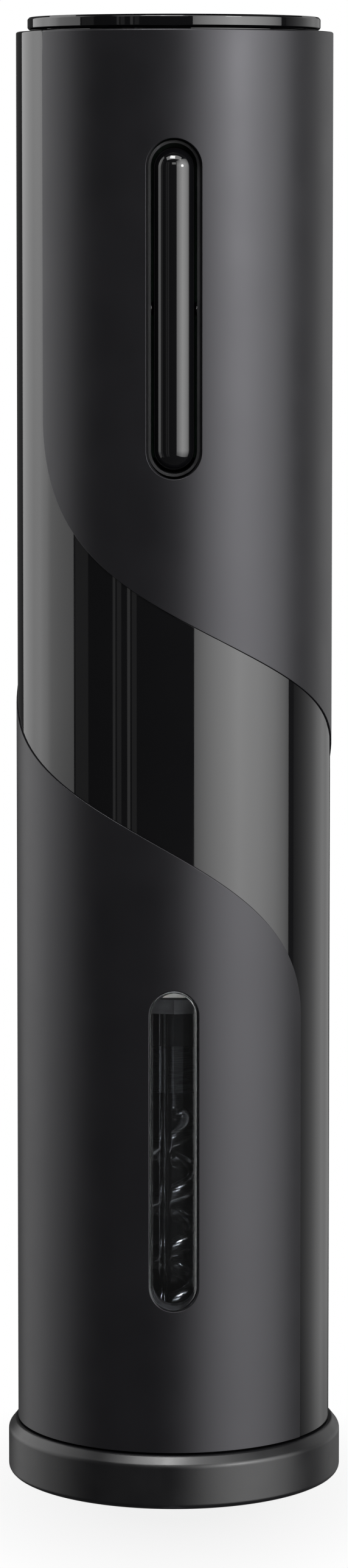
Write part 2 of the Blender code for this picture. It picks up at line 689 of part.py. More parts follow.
# --- cells and cap -----------------------------------------------------------------
def battery_bay():
    front = block("bay_front", (-30, -30, 140), (30, BAY_FRONT, 230))
    front_tool = tool("bay_front", front)
    deck = part("battery_deck", rod("deck", 20.0, DECK_Z, DECK_Z + 1.7, 32), BLACK_INNER)
    cut(deck, front_tool)
    holder = part("battery_holder", rod("holder", 20.0, DECK_Z + 2.0, BAY_TOP, 36),
                  BLACK_INNER)
    bores = [rod("bore", CELL_R + 0.35, 140, 230, 16, "Z", spot) for spot in CELL_SPOTS]
    cut(holder, front_tool, tool("cell_bores", several("bores", bores)))
    tip = CELL_LENGTH + CELL_NUB
    cell = [(0, tip), (2.7, tip), (2.7, CELL_LENGTH),
            (CELL_R, CELL_LENGTH), (CELL_R, 0), (0, 0)]
    for number, (x, y) in enumerate(CELL_SPOTS, 1):
        turned_part(f"battery_cell_{number}", cell, CELL_SLEEVE, 16, (x, y, CELL_BOTTOM))
        turns = []
        for i in range(12):
            angle = 2 * math.pi * i / 6
            radius = 4.6 - 0.1 * i
            turns.append((radius * math.cos(angle), radius * math.sin(angle),
                          2.2 * i / 11))
        part(f"cell_spring_{number}", wire("spring", turns, 0.3), STEEL,
             (x, y, DECK_Z + 2.4))


def top_cap():
    """Twist-off cap, hollow underneath, with the plate that bridges the cells."""
    profile = [(0, CAP_TOP), (12, CAP_TOP - 0.05), (CAP_R - 0.4, CAP_SIDE_TOP),
               (CAP_R, CAP_SIDE_TOP - 0.4), (CAP_R, SHOULDER + GAP), (20.0, SHOULDER + GAP),
               (20.0, CAP_SKIRT_END), (18.4, CAP_SKIRT_END), (18.4, 221.2), (0, 221.2)]
    turned_part("top_cap", profile, BLACK_GLOSS, 40)
    disc = part("cap_contact_disc", rod("disc", 18.0, CONTACT_Z, CONTACT_Z + 1.4, 32), BRASS)
    cut(disc, tool("disc_front", block("disc_front", (-30, -30, 200), (30, BAY_FRONT, 230))))


wrap()
chassis()
window()
switch_bezel()
rocker_button()
tact_switches()
foil_cutter()
neck_end()
worm()
gearbox()
motor()
battery_bay()
top_cap()
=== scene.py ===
import json
import math

import bpy
import numpy as np
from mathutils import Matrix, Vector
from mathutils.geometry import delaunay_2d_cdt, interpolate_bezier


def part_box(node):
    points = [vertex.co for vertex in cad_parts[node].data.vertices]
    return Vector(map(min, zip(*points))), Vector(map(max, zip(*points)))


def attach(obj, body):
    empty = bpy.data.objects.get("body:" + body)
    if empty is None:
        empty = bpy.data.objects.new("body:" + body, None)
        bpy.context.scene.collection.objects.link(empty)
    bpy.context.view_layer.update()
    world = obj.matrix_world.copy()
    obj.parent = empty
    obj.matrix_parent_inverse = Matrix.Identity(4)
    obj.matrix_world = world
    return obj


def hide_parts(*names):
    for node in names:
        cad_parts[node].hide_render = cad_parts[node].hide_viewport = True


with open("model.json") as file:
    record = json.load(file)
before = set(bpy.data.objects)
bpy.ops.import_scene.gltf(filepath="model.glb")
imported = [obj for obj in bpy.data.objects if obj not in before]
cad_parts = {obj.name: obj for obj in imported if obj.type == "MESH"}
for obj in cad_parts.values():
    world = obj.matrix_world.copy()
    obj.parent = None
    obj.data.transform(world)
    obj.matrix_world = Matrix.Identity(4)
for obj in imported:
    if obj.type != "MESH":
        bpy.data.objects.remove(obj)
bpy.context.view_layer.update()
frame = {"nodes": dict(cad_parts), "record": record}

# Battery wine opener: the looks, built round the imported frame.
#
# Lengths are in millimetres; MM turns them into metres.  The front faces -Y.
# Outer shells, the switch, the window and what shows when the cap or the foil
# cutter is off are rebuilt at full smoothness and stand for their CAD nodes.
# Every other CAD node stays and gets a finished material.

MM = 0.001
NODES = frame["nodes"]
BODY_OF = {node: body for body, group in frame["record"]["behaviour"]["bodies"].items()
           for node in group}


# --- sizes read from the frame ----------------------------------------------------
def low(node):
    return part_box(node)[0] / MM


def high(node):
    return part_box(node)[1] / MM


def radii(node):
    """Smallest and largest distance of a node's corners from the main axis."""
    away = [math.hypot(v.co.x, v.co.y) / MM for v in NODES[node].data.vertices]
    return min(away), max(away)


SKIN_IN_R, PANEL_R = radii("upper_panel")
BAND_R = radii("gloss_band")[1]
SKIN_BOTTOM = low("upper_panel").z
SHOULDER = high("upper_panel").z
BUTTON_LOW, BUTTON_HIGH = low("rocker_button"), high("rocker_button")
SWITCH_Z = (BUTTON_LOW.z + BUTTON_HIGH.z) / 2
BUTTON_WIDTH = BUTTON_HIGH.x - BUTTON_LOW.x
BUTTON_HEIGHT = BUTTON_HIGH.z - BUTTON_LOW.z
BUTTON_DEPTH = 3.5          # of the button's own shell, as in the CAD
BUTTON_BACK = BUTTON_LOW.y + BUTTON_DEPTH
BEZEL_LOW, BEZEL_HIGH = low("switch_bezel"), high("switch_bezel")
LENS_LOW, LENS_HIGH = low("window_lens"), high("window_lens")
WINDOW_Z = (LENS_LOW.z + LENS_HIGH.z) / 2
LENS_GAP = 0.2              # between the lens and the edge of its hole
SLOT_GAP = 0.25             # between the bezel and the edge of the slot
WHEELS = 4                  # cutting wheels in the foil cutter
CELLS = 4

# --- the band's edges, as in the CAD -------------------------------------------------
UPPER_EDGE = {"start": (-54.6, 164.5), "start_handle": 14.0,
              "front": 135.3, "slope": 0.552, "front_handles": (14.4, 28.6),
              "end_handle": 32.5, "end": (127.0, 79.9)}
LOWER_EDGE = {"start": (-127.0, 151.0), "start_handle": 30.2,
              "front": 99.5, "slope": 0.571, "front_handles": (30.3, 13.9),
              "end_handle": 10.3, "end": (52.7, 73.7)}
SWEEP_STEPS = 60
RUN_STEP = 4.0              # between points along the upright edges
RIM_STEP = 1.0              # between points round the rims
SEAM = 0.015                # half the gap between band and panel
BACK_SEAM = 180.0           # degrees round from the front


# --- mesh making ---------------------------------------------------------------------
class Skin:
    """Faces gathered in mm, welded as they come, each corner with its own normal."""

    def __init__(self):
        self.points, self.index, self.faces, self.normals = [], {}, [], []

    def face(self, corners, normals):
        """corners and normals run anticlockwise seen from outside."""
        ids, kept = [], []
        for corner, normal in zip(corners, normals):
            key = tuple(round(c, 4) for c in corner)
            if key not in self.index:
                self.index[key] = len(self.points)
                self.points.append(corner)
            if self.index[key] not in ids:
                ids.append(self.index[key])
                kept.append(normal)
        if len(ids) > 2:
            self.faces.append(ids)
            self.normals += kept

    def piece(self, name, at=(0, 0, 0)):
        mesh = bpy.data.meshes.new(name)
        mesh.from_pydata([Vector(p) * MM for p in self.points], [], self.faces)
        mesh.shade_smooth()
        mesh.normals_split_custom_set([Vector(n).normalized() for n in self.normals])
        obj = bpy.data.objects.new(name, mesh)
        bpy.context.scene.collection.objects.link(obj)
        obj.location = Vector(at) * MM
        return obj


def fillet_path(corners, closed=True, steps=5):
    """Path through (r, z, fillet) corners as (point, normal, point, normal) runs.

    Outer sides run downwards, so the outside is on the path's left.
    """
    places = [Vector(c[:2]) for c in corners]
    sizes = [c[2] if len(c) > 2 else 0.0 for c in corners]
    count = len(places)
    entries, exits, arcs = list(places), list(places), [None] * count
    for i in range(count):
        if sizes[i] <= 0 or (not closed and i in (0, count - 1)):
            continue
        back = (places[i] - places[i - 1]).normalized()
        on = (places[(i + 1) % count] - places[i]).normalized()
        turn = back.angle_signed(on)
        reach = sizes[i] * math.tan(abs(turn) / 2)
        entries[i], exits[i] = places[i] - back * reach, places[i] + on * reach
        normal_in, normal_out = Vector((-back.y, back.x)), Vector((-on.y, on.x))
        bulge = 1 if back.cross(on) < 0 else -1
        middle = entries[i] - normal_in * sizes[i] * bulge
        arc = []
        for k in range(steps + 1):
            normal = normal_in.slerp(normal_out, k / steps)
            arc.append((middle + normal * sizes[i] * bulge, normal))
        arcs[i] = arc
    runs = []
    for i in range(count):
        if arcs[i]:
            for (a, na), (b, nb) in zip(arcs[i], arcs[i][1:]):
                runs.append((a, na, b, nb))
        if not closed and i == count - 1:
            break
        a, b = exits[i], entries[(i + 1) % count]
        if (b - a).length > 1e-6:
            along = (b - a).normalized()
            normal = Vector((-along.y, along.x))
            runs.append((a, normal, b, normal))
    return runs


def lathe(skin, corners, steps=128, closed=True):
    """Turn a filleted profile about the upright axis."""
    turns = [2 * math.pi * i / steps for i in range(steps + 1)]
    turns[-1] = 0.0
    rays = [(math.cos(a), math.sin(a)) for a in turns]
    for a, na, b, nb in fillet_path(corners, closed):
        for (c0, s0), (c1, s1) in zip(rays, rays[1:]):
            corners3, normals3 = [], []
            for (c, s), p, n in (((c0, s0), a, na), ((c0, s0), b, nb),
                                 ((c1, s1), b, nb), ((c1, s1), a, na)):
                corners3.append((p.x * c, p.x * s, p.y))
                normals3.append((n.x * c, n.x * s, n.y))
            skin.face(corners3, normals3)


def turned(name, corners, steps=128, closed=True, at=(0, 0, 0)):
    skin = Skin()
    lathe(skin, corners, steps, closed)
    return skin.piece(name, at)


class Roll:
    """Maps (across, height) on the unrolled casing to a cylinder about the main axis."""

    def point(self, across, height, level):
        angle = across / PANEL_R
        return (level * math.sin(angle), -level * math.cos(angle), height)

    def normal(self, across, side, up, out):
        angle = across / PANEL_R
        return (side * math.cos(angle) + out * math.sin(angle),
                side * math.sin(angle) - out * math.cos(angle), up)


class Front:
    """Maps (across, height) to an upright plane; level counts towards the front."""

    def point(self, across, height, level):
        return (across, -level, height)

    def normal(self, across, side, up, out):
        return (side, -out, up)


class Table:
    """Maps (x, y) to a level plane; level is its height."""

    def point(self, across, height, level):
        return (across, height, level)

    def normal(self, across, side, up, out):
        return (side, up, out)


def area(loop):
    return sum(a.cross(b) for a, b in zip(loop, loop[1:] + loop[:1])) / 2


def outward(loop):
    """Outward direction at each point of a loop, long enough to keep a mitre."""
    turn = 1 if area(loop) > 0 else -1
    found = []
    for i, point in enumerate(loop):
        back = (point - loop[i - 1]).normalized()
        on = (loop[(i + 1) % len(loop)] - point).normalized()
        first, second = Vector((back.y, -back.x)), Vector((on.y, -on.x))
        middle = (first + second).normalized()
        found.append(middle * turn / max(0.5, middle.dot(first)))
    return found


def inside(points, loop):
    """Which of the points lie in a loop, by the even-odd rule."""
    x, y = points[:, 0], points[:, 1]
    hits = np.zeros(len(points), bool)
    for a, b in zip(loop, loop[1:] + loop[:1]):
        if a.y == b.y:
            continue
        crosses = (a.y > y) != (b.y > y)
        hits ^= crosses & (x < (b.x - a.x) * (y - a.y) / (b.y - a.y) + a.x)
    return hits


def fill(skin, form, loops, level, facing, grid):
    """Triangles over the first loop without the others, with inner points on a grid."""
    outer = np.array(loops[0])
    lowest, highest = outer.min(0), outer.max(0)
    counts = [max(2, int(round(size / step)) + 1)
              for size, step in zip(highest - lowest, grid)]
    across, up = np.meshgrid(*[np.linspace(a, b, n)
                               for a, b, n in zip(lowest, highest, counts)])
    inner = np.stack([across.ravel(), up.ravel()], 1)
    keep = inside(inner, loops[0])
    for hole in loops[1:]:
        keep &= ~inside(inner, hole)
    border = np.concatenate([np.array(loop) for loop in loops])
    near = min(grid) * 0.45
    for start in range(0, len(border), 200):
        gap = inner[:, None] - border[None, start:start + 200]
        keep &= (gap ** 2).sum(2).min(1) > near ** 2
    places = [Vector(p) for p in border] + [Vector(p) for p in inner[keep]]
    edges, first = [], 0
    for loop in loops:
        edges += [(first + i, first + (i + 1) % len(loop)) for i in range(len(loop))]
        first += len(loop)
    flat, _, faces, *_ = delaunay_2d_cdt(places, edges, [], 0, 1e-6)
    middles = np.array([sum((flat[i] for i in face), Vector((0, 0))) / 3 for face in faces])
    good = inside(middles, loops[0])
    for hole in loops[1:]:
        good &= ~inside(middles, hole)
    for face, wanted in zip(faces, good):
        if not wanted:
            continue
        ids = list(face) if facing > 0 else list(face)[::-1]
        skin.face([form.point(*flat[i], level) for i in ids],
                  [form.normal(flat[i].x, 0, 0, facing) for i in ids])


def plate(skin, form, loops, outer, inner, edge, grid, steps=4):
    """Plate with rounded outer edges: the first loop is its outline, the rest holes.

    outer and inner are the levels of its two faces.  edge is the rounding, either one
    number or a function of the place on the loop.
    """
    signs = [1] + [-1] * (len(loops) - 1)
    loops = [loop if area(loop) * sign > 0 else loop[::-1]
             for loop, sign in zip(loops, signs)]
    ways = [[d * sign for d in outward(loop)] for loop, sign in zip(loops, signs)]
    size = edge if callable(edge) else (lambda p: edge)
    rounds = [math.pi / 2 * k / steps for k in range(steps + 1)]
    for loop, way in zip(loops, ways):
        rows = []
        for turn in rounds:
            rows.append([(p - d * size(p) * (1 - math.sin(turn)),
                          outer - size(p) * (1 - math.cos(turn)),
                          d.normalized() * math.sin(turn), math.cos(turn))
                         for p, d in zip(loop, way)])
        rows.append([(p, inner, d.normalized(), 0.0) for p, d in zip(loop, way)])
        for upper, lower in zip(rows, rows[1:]):
            for i in range(len(loop)):
                j = (i + 1) % len(loop)
                quad = (upper[i], lower[i], lower[j], upper[j])
                skin.face([form.point(*p, level) for p, level, d, out in quad],
                          [form.normal(p.x, d.x, d.y, out) for p, level, d, out in quad])
    shrunk = [[p - d * size(p) for p, d in zip(loop, way)] for loop, way in zip(loops, ways)]
    fill(skin, form, shrunk, outer, 1, grid)
    fill(skin, form, loops, inner, -1, grid)


def pill_loop(width, height, middle=(0.0, 0.0), steps=24, run=8):
    """Closed loop of a pill, its straight sides split in run parts."""
    radius, half = width / 2, (height - width) / 2
    loop = []
    for end, start in ((1, 0.0), (-1, math.pi)):
        for i in range(steps + 1):
            turn = start + math.pi * i / steps
            loop.append(Vector((middle[0] + radius * math.cos(turn),
                                middle[1] + half * end + radius * math.sin(turn))))
        for i in range(1, run):
            down = half * end * (1 - 2 * i / run)
            loop.append(Vector((middle[0] - radius * end, middle[1] + down)))
    return loop


def rolled(loop):
    """Take a loop seen from the front onto the unrolled casing."""
    return [Vector((PANEL_R * math.asin(p.x / PANEL_R), p.y)) for p in loop]


def split_run(a, b, step):
    """Points from a towards b, about step apart, without b itself."""
    count = max(1, round((b - a).length / step))
    return [a.lerp(b, i / count) for i in range(count)]


def edge_path(edge, top, bottom, shift):
    """Points of one band edge on the unrolled casing, moved sideways by shift."""
    arc = math.radians(1) * PANEL_R
    start = Vector((edge["start"][0] * arc, edge["start"][1]))
    front = Vector((0, edge["front"]))
    end = Vector((edge["end"][0] * arc, edge["end"][1]))
    along = Vector((1, -edge["slope"])).normalized()
    back_handle, on_handle = edge["front_handles"]
    down = Vector((0, -1))
    first = interpolate_bezier(start, start + down * edge["start_handle"],
                               front - along * back_handle, front, SWEEP_STEPS)
    second = interpolate_bezier(front, front + along * on_handle,
                                end - down * edge["end_handle"], end, SWEEP_STEPS)
    upright = split_run(Vector((start.x, top)), start, RUN_STEP)
    rest = split_run(end, Vector((end.x, bottom)), RUN_STEP)
    path = [*upright, *first, *second[1:], *rest[1:], Vector((end.x, bottom))]
    moved = []
    for i, point in enumerate(path):
        run = path[min(i + 1, len(path) - 1)] - path[max(i - 1, 0)]
        moved.append(point + Vector((-run.y, run.x)).normalized() * shift)
    return moved


# --- looks -------------------------------------------------------------------------
class Look:
    """Grows one Principled material."""

    def __init__(self, name, colour, roughness, metallic=0.0):
        self.material = bpy.data.materials.new(name)
        self.material.use_nodes = True
        self.tree = self.material.node_tree
        self.shader = self.tree.nodes["Principled BSDF"]
        self.set("Base Color", (*colour, 1.0))
        self.set("Roughness", roughness)
        self.set("Metallic", metallic)
        self.place = self.add("ShaderNodeTexCoord").outputs["Object"]
        self.last_bump = None

    def add(self, kind, **values):
        node = self.tree.nodes.new(kind)
        for key, value in values.items():
            setattr(node, key, value)
        return node

    def set(self, socket, value):
        self.shader.inputs[socket].default_value = value

    def link(self, source, target):
        self.tree.links.new(source, target)

    def stretched(self, stretch, shift=(0, 0, 0)):
        mapping = self.add("ShaderNodeMapping")
        mapping.inputs["Scale"].default_value = stretch
        mapping.inputs["Location"].default_value = shift
        self.link(self.place, mapping.inputs["Vector"])
        return mapping.outputs["Vector"]

    def noise(self, size, detail=3.0, stretch=(1, 1, 1)):
        """Noise whose features are about size millimetres across."""
        node = self.add("ShaderNodeTexNoise")
        node.inputs["Scale"].default_value = 1 / (size * MM)
        node.inputs["Detail"].default_value = detail
        self.link(self.stretched(stretch), node.inputs["Vector"])
        return node.outputs["Fac"]

    def cells(self, size, feature="F1"):
        node = self.add("ShaderNodeTexVoronoi", feature=feature)
        node.inputs["Scale"].default_value = 1 / (size * MM)
        self.link(self.place, node.inputs["Vector"])
        return node.outputs["Distance"]

    def between(self, factor, start, end, lowest=0.35, highest=0.65):
        node = self.add("ShaderNodeMapRange")
        for socket, value in (("From Min", lowest), ("From Max", highest),
                              ("To Min", start), ("To Max", end)):
            node.inputs[socket].default_value = value
        self.link(factor, node.inputs["Value"])
        return node.outputs["Result"]

    def mix(self, factor, first, second):
        node = self.add("ShaderNodeMix", data_type="RGBA")
        self.link(factor, node.inputs["Factor"])
        for socket, value in ((6, first), (7, second)):
            if isinstance(value, tuple):
                node.inputs[socket].default_value = (*value, 1.0)
            else:
                self.link(value, node.inputs[socket])
        return node.outputs[2]

    def rough(self, factor, start, end):
        self.link(self.between(factor, start, end), self.shader.inputs["Roughness"])

    def bump(self, factor, height, strength=1.0):
        """Add a bump whose full height is given in millimetres."""
        node = self.add("ShaderNodeBump")
        node.inputs["Strength"].default_value = strength
        node.inputs["Distance"].default_value = height * MM
        self.link(factor, node.inputs["Height"])
        if self.last_bump:
            self.link(self.last_bump, node.inputs["Normal"])
        self.last_bump = node.outputs["Normal"]
        self.link(self.last_bump, self.shader.inputs["Normal"])

    def worn(self, base, edge_colour, amount=1.0):
        """Base colour that lightens along convex edges, broken up by noise."""
        point = self.add("ShaderNodeNewGeometry").outputs["Pointiness"]
        edge = self.between(point, 0.0, amount, 0.53, 0.60)
        broken = self.add("ShaderNodeMath", operation="MULTIPLY")
        self.link(edge, broken.inputs[0])
        self.link(self.between(self.noise(1.5), 0.3, 1.0), broken.inputs[1])
        self.link(self.mix(broken.outputs[0], base, edge_colour),
                  self.shader.inputs["Base Color"])


def matt_black():
    """Soft matt coat with a fine grain."""
    look = Look("matt_black", (0.0015, 0.0015, 0.0018), 0.38)
    look.set("Specular IOR Level", 0.39)
    look.set("Specular Tint", (0.95, 0.94, 1.0, 1.0))
    cloud = look.noise(9.0, 4.0)
    look.rough(cloud, 0.365, 0.395)
    tone = look.mix(cloud, (0.0012, 0.0012, 0.0015), (0.0020, 0.0019, 0.0024))
    look.worn(tone, (0.006, 0.006, 0.007), 0.5)
    look.bump(look.noise(0.12, 2.0), 0.004, 0.35)
    return look


def gloss_black():
    """Polished plastic with the faint waviness of a moulding and hairline scratches."""
    look = Look("gloss_black", (0.0015, 0.0015, 0.0017), 0.035)
    haze = look.noise(14.0, 3.0)
    look.rough(haze, 0.025, 0.05)
    tone = look.mix(haze, (0.0012, 0.0012, 0.0014), (0.0020, 0.0020, 0.0023))
    look.worn(tone, (0.006, 0.006, 0.007), 0.5)
    look.bump(look.noise(7.0, 1.0, (1, 1, 0.25)), 0.006, 0.25)
    look.bump(look.noise(0.5, 2.0, (0.15, 0.15, 4.0)), 0.0004, 0.2)
    return look


def satin_black():
    """Moulded ring with a spark-eroded grain."""
    look = Look("satin_black", (0.0015, 0.0015, 0.0018), 0.33)
    look.set("Specular IOR Level", 0.40)
    grain = look.cells(0.35)
    cloud = look.noise(6.0, 4.0)
    look.rough(cloud, 0.30, 0.37)
    tone = look.mix(cloud, (0.0013, 0.0013, 0.0016), (0.0022, 0.0022, 0.0026))
    look.worn(tone, (0.008, 0.008, 0.009), 0.6)
    look.bump(grain, 0.006, 0.3)
    look.bump(look.noise(0.15, 2.0), 0.003, 0.3)
    return look


def inner_black():
    """Plain inner moulding, coarser and duller than the outside."""
    look = Look("inner_black", (0.010, 0.010, 0.011), 0.5)
    cloud = look.noise(5.0, 4.0)
    look.rough(cloud, 0.44, 0.56)
    tone = look.mix(cloud, (0.008, 0.008, 0.009), (0.013, 0.013, 0.014))
    look.worn(tone, (0.035, 0.035, 0.038))
    look.bump(look.noise(0.3, 3.0), 0.012, 0.35)
    return look


def clear():
    """Slightly smoky clear plastic with polishing haze."""
    look = Look("clear", (0.86, 0.88, 0.90), 0.03)
    look.set("Transmission Weight", 1.0)
    look.set("IOR", 1.49)
    look.rough(look.noise(6.0, 4.0), 0.0, 0.02)
    look.bump(look.noise(5.0, 1.0, (1, 1, 0.3)), 0.006, 0.3)
    return look


def rubber():
    """Soft seat with a matt, slightly dusty face."""
    look = Look("rubber", (0.020, 0.020, 0.020), 0.80)
    dust = look.noise(2.0, 5.0)
    look.rough(dust, 0.72, 0.88)
    look.worn(look.mix(dust, (0.015, 0.015, 0.015), (0.034, 0.033, 0.032)),
              (0.06, 0.06, 0.058))
    look.bump(look.noise(0.25, 4.0), 0.02, 0.5)
    return look


def metal(name, colour, light, roughness, grain, stretch):
    """Metal with a directional grain, brighter along its edges."""
    look = Look(name, colour, roughness, 1.0)
    line = look.noise(grain, 3.0, stretch)
    look.rough(line, roughness * 0.75, roughness * 1.3)
    shade = tuple(c * 0.86 for c in colour)
    look.worn(look.mix(look.noise(3.0, 4.0), shade, colour), light)
    look.bump(line, 0.003, 0.3)
    return look


def steel():
    return metal("steel", (0.62, 0.62, 0.63), (0.78, 0.78, 0.79), 0.20, 0.4, (0.2, 0.2, 3))


def zinc():
    look = metal("zinc", (0.56, 0.57, 0.59), (0.72, 0.73, 0.75), 0.36, 0.8, (1, 1, 1))
    look.bump(look.cells(0.6), 0.004, 0.25)
    return look


def brass():
    return metal("brass", (0.70, 0.50, 0.21), (0.86, 0.68, 0.34), 0.28, 0.3, (3, 3, 0.3))


def nylon():
    """Natural nylon: milky, with light passing just under its skin."""
    look = Look("nylon", (0.78, 0.77, 0.71), 0.48)
    look.set("Subsurface Weight", 0.25)
    look.set("Subsurface Radius", (0.002, 0.0018, 0.0014))
    cloud = look.noise(3.0, 4.0)
    look.rough(cloud, 0.42, 0.55)
    look.worn(look.mix(cloud, (0.74, 0.73, 0.66), (0.81, 0.80, 0.75)), (0.88, 0.87, 0.83))
    look.bump(look.noise(0.2, 3.0), 0.006, 0.4)
    return look


def board():
    """Solder mask with copper tracks showing through as a lighter pattern."""
    look = Look("board", (0.003, 0.018, 0.009), 0.4)
    tracks = look.add("ShaderNodeTexBrick")
    tracks.inputs["Scale"].default_value = 1 / (4.0 * MM)
    tracks.inputs["Mortar Size"].default_value = 0.06
    look.link(look.place, tracks.inputs["Vector"])
    look.link(look.mix(tracks.outputs["Fac"], (0.002, 0.014, 0.007), (0.008, 0.04, 0.018)),
              look.shader.inputs["Base Color"])
    look.rough(look.noise(2.0), 0.32, 0.45)
    look.bump(tracks.outputs["Fac"], 0.03, 0.6)
    return look


def cell():
    """Plain shrink sleeve of a cell, tight and slightly rippled."""
    look = Look("cell", (0.035, 0.11, 0.24), 0.30)
    ripple = look.noise(5.0, 2.0, (1, 1, 0.15))
    look.rough(ripple, 0.24, 0.38)
    look.worn(look.mix(ripple, (0.028, 0.09, 0.20), (0.045, 0.14, 0.29)),
              (0.12, 0.22, 0.36), 0.5)
    look.bump(ripple, 0.03, 0.4)
    return look


LOOKS = {make.__name__: make().material for make in
         (matt_black, gloss_black, satin_black, inner_black, clear, rubber, steel, zinc,
          brass, nylon, board, cell)}


def finish_nodes():
    """Give each CAD node the finished material of its slot."""
    for entry in frame["record"]["subparts"]:
        data = NODES[entry["node"]].data
        data.materials.clear()
        data.materials.append(LOOKS[entry["material_slot"]])


def settle(obj, slot, *nodes):
    """Finish a made piece: its material, its body and the nodes it stands for."""
    obj.data.materials.clear()
    obj.data.materials.append(LOOKS[slot])
    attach(obj, BODY_OF[nodes[0]])
    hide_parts(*nodes)
    return obj


# --- casing -------------------------------------------------------------------------
PANEL_GRID = (1.0, 4.0)     # spacing of the inner points round and up the casing
PANEL_EDGE = 0.08           # rounding of the panels' edges
BAND_EDGE = 0.05            # rounding of the band's edges
RIM_EDGE = 0.28             # rounding of their top rims


def slot_loop():
    """Edge of the switch's hole."""
    return rolled(pill_loop(BEZEL_HIGH.x - BEZEL_LOW.x + 2 * SLOT_GAP,
                            BEZEL_HIGH.z - BEZEL_LOW.z + 2 * SLOT_GAP, (0, SWITCH_Z)))


def window_loop(shrink=0.0):
    """Edge of the window's hole, or a pill that is narrower by shrink."""
    return rolled(pill_loop(LENS_HIGH.x - LENS_LOW.x + 2 * LENS_GAP - shrink,
                            LENS_HIGH.z - LENS_LOW.z + 2 * LENS_GAP - shrink,
                            (0, WINDOW_Z)))


def rim_or(edge):
    """Rounding that is wide along the top rim and edge elsewhere."""
    return lambda p: RIM_EDGE if p.y > SHOULDER - 0.01 else edge


def panel(name, edge, side, hole):
    """One matt panel, from its band edge round to the seam down the back."""
    path = edge_path(edge, SHOULDER, SKIN_BOTTOM, side * SEAM)
    back = side * (math.radians(BACK_SEAM) * PANEL_R - SEAM)
    far = [Vector((back, SKIN_BOTTOM)), Vector((back, SHOULDER))]
    loop = path[:-1] + split_run(path[-1], far[0], RIM_STEP)
    loop += split_run(far[0], far[1], RUN_STEP) + split_run(far[1], path[0], RIM_STEP)
    skin = Skin()
    plate(skin, Roll(), [loop, hole], PANEL_R, SKIN_IN_R, rim_or(PANEL_EDGE), PANEL_GRID)
    settle(skin.piece(name + "_skin"), "matt_black", name)


def casing():
    panel("upper_panel", UPPER_EDGE, 1, slot_loop())
    panel("lower_panel", LOWER_EDGE, -1, window_loop())
    right = edge_path(UPPER_EDGE, SHOULDER, SKIN_BOTTOM, -SEAM)
    left = edge_path(LOWER_EDGE, SHOULDER, SKIN_BOTTOM, SEAM)[::-1]
    loop = right[:-1] + split_run(right[-1], left[0], RIM_STEP)
    loop += left[:-1] + split_run(left[-1], right[0], RIM_STEP)
    skin = Skin()
    plate(skin, Roll(), [loop], BAND_R, SKIN_IN_R, rim_or(BAND_EDGE), PANEL_GRID)
    settle(skin.piece("gloss_band_skin"), "gloss_black", "gloss_band")


def cap():
    """Twist-off cap: crowned top, rounded rim, a fine groove above its foot, a skirt."""
    outer = radii("top_cap")[1]
    top, foot = high("top_cap").z, SHOULDER + 0.3
    skirt, ceiling = low("top_cap").z, 221.2
    skirt_out, skirt_in = 20.0, 18.4
    corners = [(0, top), (12.0, top - 0.05, 30), (outer - 0.3, top - 0.18, 0.2),
               (outer, top - 0.5, 0.25), (outer, foot + 0.3, 0.1),
               (outer - 0.25, foot, 0.1), (skirt_out, foot, 0.1), (skirt_out, skirt, 0.3),
               (skirt_in, skirt, 0.3), (skirt_in, ceiling, 1.0), (0, ceiling)]
    settle(turned("cap_shell", corners, 160, closed=False), "gloss_black", "top_cap")


# --- switch and window -----------------------------------------------------------------
BEZEL_WALL = 0.5
BEZEL_RECESS = 0.7          # its face lies this much deeper than the CAD frame's


def bezel():
    """Pill frame that lines the slot."""
    width, height = BEZEL_HIGH.x - BEZEL_LOW.x, BEZEL_HIGH.z - BEZEL_LOW.z
    loops = [pill_loop(width, height, (0, SWITCH_Z)),
             pill_loop(width - 2 * BEZEL_WALL, height - 2 * BEZEL_WALL, (0, SWITCH_Z))]
    skin = Skin()
    plate(skin, Front(), loops, -BEZEL_LOW.y - BEZEL_RECESS, -BEZEL_HIGH.y, 0.1,
          (2.0, 4.0))
    settle(skin.piece("bezel_frame"), "inner_black", "switch_bezel")


def collars(skin):
    """Short sleeves that hide the pin between the button and the bezel."""
    axis = (low("rocker_pin") + high("rocker_pin")) / 2
    radius = high("rocker_pin").z - axis.z + 0.25
    start, end = BUTTON_WIDTH / 2 - 0.3, BEZEL_HIGH.x - BEZEL_WALL - 0.03
    sides = 24
    turns = [2 * math.pi * k / sides for k in range(sides)]
    rays = [(math.cos(turn), math.sin(turn)) for turn in turns]
    rim = [(axis.y + radius * c, axis.z + radius * s) for c, s in rays]
    for side in (-1, 1):
        for k in range(sides):
            m = (k + 1) % sides
            quad = [(side * start, *rim[k]), (side * start, *rim[m]),
                    (side * end, *rim[m]), (side * end, *rim[k])]
            ways = [(0, *rays[k]), (0, *rays[m]), (0, *rays[m]), (0, *rays[k])]
            skin.face(quad[::-side], ways[::-side])
        face = [(side * end, *point) for point in rim]
        skin.face(face[::side], [(side, 0, 0)] * sides)


